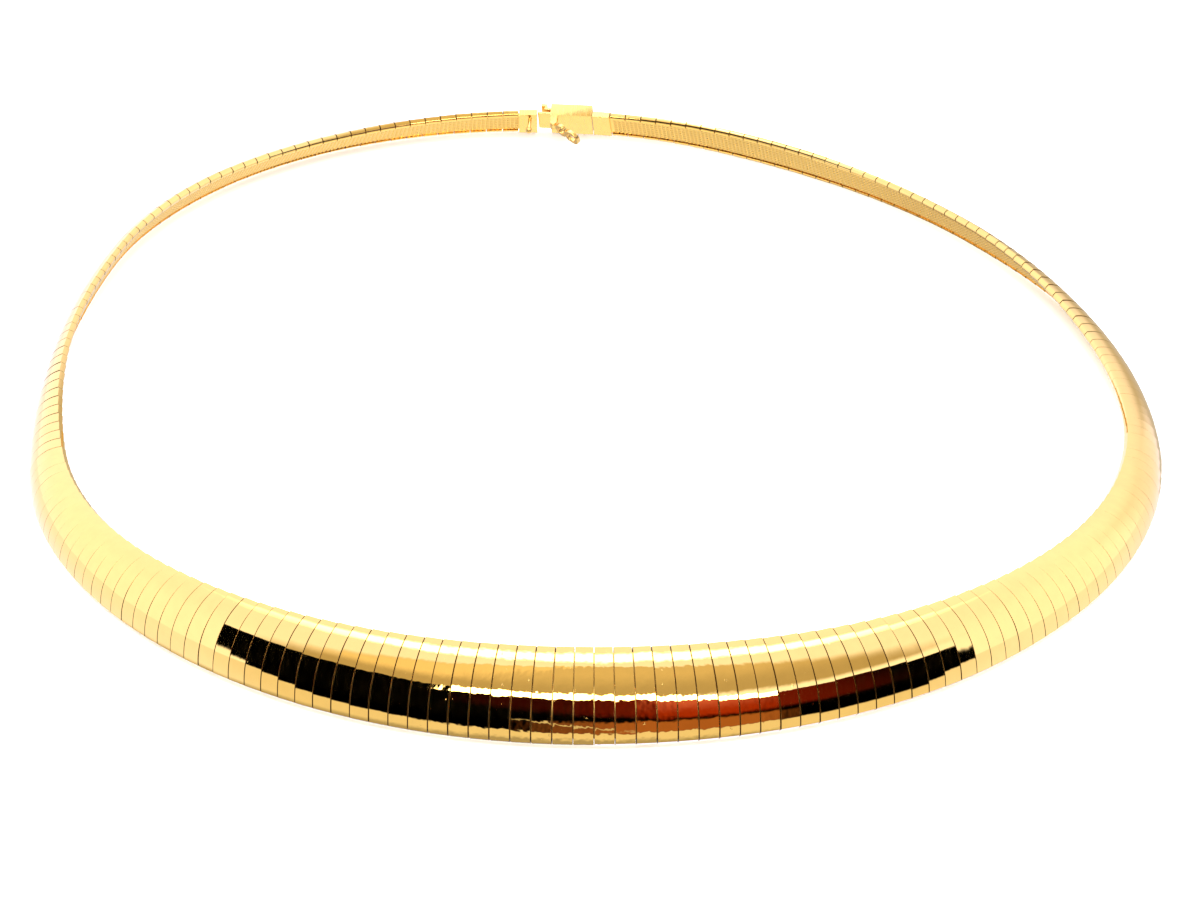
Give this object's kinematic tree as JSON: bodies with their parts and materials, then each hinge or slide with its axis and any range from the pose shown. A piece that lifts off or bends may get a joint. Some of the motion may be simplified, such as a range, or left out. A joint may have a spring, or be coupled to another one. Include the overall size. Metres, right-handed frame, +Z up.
{
  "type": "omega necklace",
  "caption": "Rigid omega necklace of polished domed plates folded round a woven strip, wide at the front and tapering to a box clasp with a figure-eight safety latch.",
  "frame": {"origin": "middle of the neck opening, on the surface that the necklace lies on", "axes": "+Z up from the surface, +Y from the wide front of the band to the clasp, +X to the right of a viewer who faces the front"},
  "size_m": [0.1308, 0.1527, 0.0088],
  "materials": {
    "polished_gold": "mirror-polished 14 karat yellow gold",
    "woven_gold": "woven wire, satin",
    "clasp_gold": "polished 14 karat yellow gold"
  },
  "bodies": {
    "necklace": {"plates_left": "polished_gold", "plates_right": "polished_gold", "mesh_core": "woven_gold", "end_cap_left": "clasp_gold", "end_cap_right": "clasp_gold", "clasp_box": "clasp_gold", "clasp_tongue": "clasp_gold"},
    "latch": {"safety_latch": "clasp_gold"}
  },
  "joints": [
    {"name": "latch_hinge", "type": "hinge", "parent": "necklace", "child": "latch", "pos_m": [-0.00514, 0.07155, 0.00242], "axis": [-0.0512, -0.4974, 0.866], "range_deg": [-145, 25]}
  ]
}
